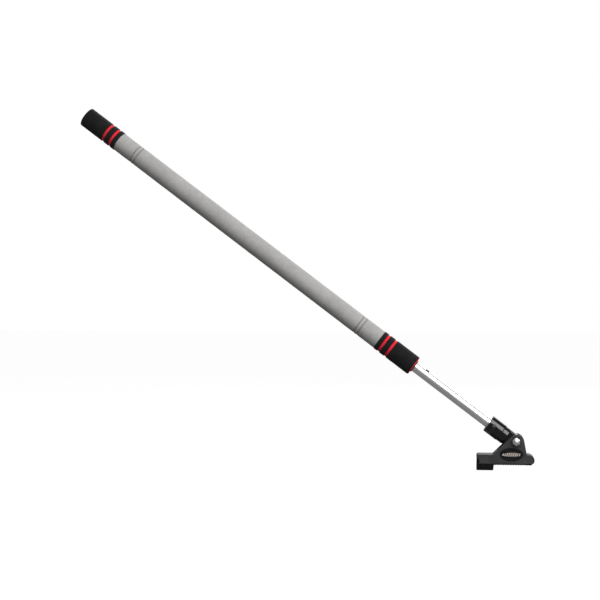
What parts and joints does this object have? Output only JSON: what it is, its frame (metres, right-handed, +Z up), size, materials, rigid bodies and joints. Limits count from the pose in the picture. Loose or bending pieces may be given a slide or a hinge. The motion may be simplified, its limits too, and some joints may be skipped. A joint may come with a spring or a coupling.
{
  "type": "bed cargo bar",
  "caption": "Telescoping truck bed cargo bar with a twist lock, foam sleeve and grips, and a hinged foot with a hooked lip.",
  "frame": {"origin": "on the foot's rubber sole plane, straight under the hinge pin, on the foot's middle plane", "axes": "+Z up from the sole, +X along the foot towards its nose, Y along the hinge pin; the bar rises towards -X at 37.2 degrees in the XZ plane"},
  "size_m": [1.1359, 0.069, 0.8992],
  "materials": {
    "moulding_black": "satin",
    "gloss_black": "gloss",
    "rubber_black": "matte",
    "foam_black": "matte",
    "foam_red": "matte",
    "foam_grey": "matte",
    "aluminium": "satin",
    "zinc_steel": "satin",
    "black_steel": "satin",
    "nylon_natural": "satin",
    "badge_plate": "satin"
  },
  "bodies": {
    "foot": {"foot_body": "moulding_black", "sole_pad": "rubber_black", "lip_block": "rubber_black", "lip_screw_1": "black_steel", "lip_screw_2": "black_steel", "badge_front": "badge_plate", "badge_back": "badge_plate", "hinge_bolt": "zinc_steel", "dome_nut": "zinc_steel", "washer_front": "black_steel", "washer_back": "black_steel", "friction_washer_front": "nylon_natural", "friction_washer_back": "nylon_natural"},
    "inner": {"tube_socket": "gloss_black", "pivot_sleeve": "zinc_steel", "socket_screw": "black_steel", "socket_nut": "zinc_steel", "inner_tube": "aluminium", "lock_plug": "nylon_natural", "plug_pin": "zinc_steel", "lock_stud": "zinc_steel", "stop_nut": "zinc_steel"},
    "expander": {"expander": "nylon_natural"},
    "cone": {"cone_nut": "zinc_steel"},
    "outer": {"outer_tube": "aluminium", "guide_bush": "moulding_black", "end_plug": "rubber_black", "foam_sleeve": "foam_grey", "grip_core_lower": "foam_red", "grip_core_upper": "foam_red", "grip_band_lower_1": "foam_black", "grip_band_lower_2": "foam_black", "grip_band_lower_3": "foam_black", "grip_band_upper_1": "foam_black", "grip_band_upper_2": "foam_black", "grip_band_upper_3": "foam_black"}
  },
  "joints": [
    {"name": "foot_pivot", "type": "hinge", "parent": "foot", "child": "inner", "pos_m": [0, 0, 0.0575], "axis": [0, 1, 0], "range_deg": [-6, 125]},
    {"name": "bar_twist", "type": "hinge", "parent": "inner", "child": "expander", "pos_m": [-0.00363, 0, 0.05272], "axis": [-0.7965, 0, 0.6046], "range_deg": [0, 360]},
    {"name": "cone_travel", "type": "slide", "parent": "expander", "child": "cone", "axis": [-0.7965, 0, 0.6046], "range_m": [0, 0.0013]},
    {"name": "bar_extend", "type": "slide", "parent": "expander", "child": "outer", "axis": [-0.7965, 0, 0.6046], "range_m": [-0.225, 0.45]}
  ],
  "couplings": [
    {"joint": "cone_travel", "follows": "bar_twist", "m_per_rad": 0.00019894}
  ]
}
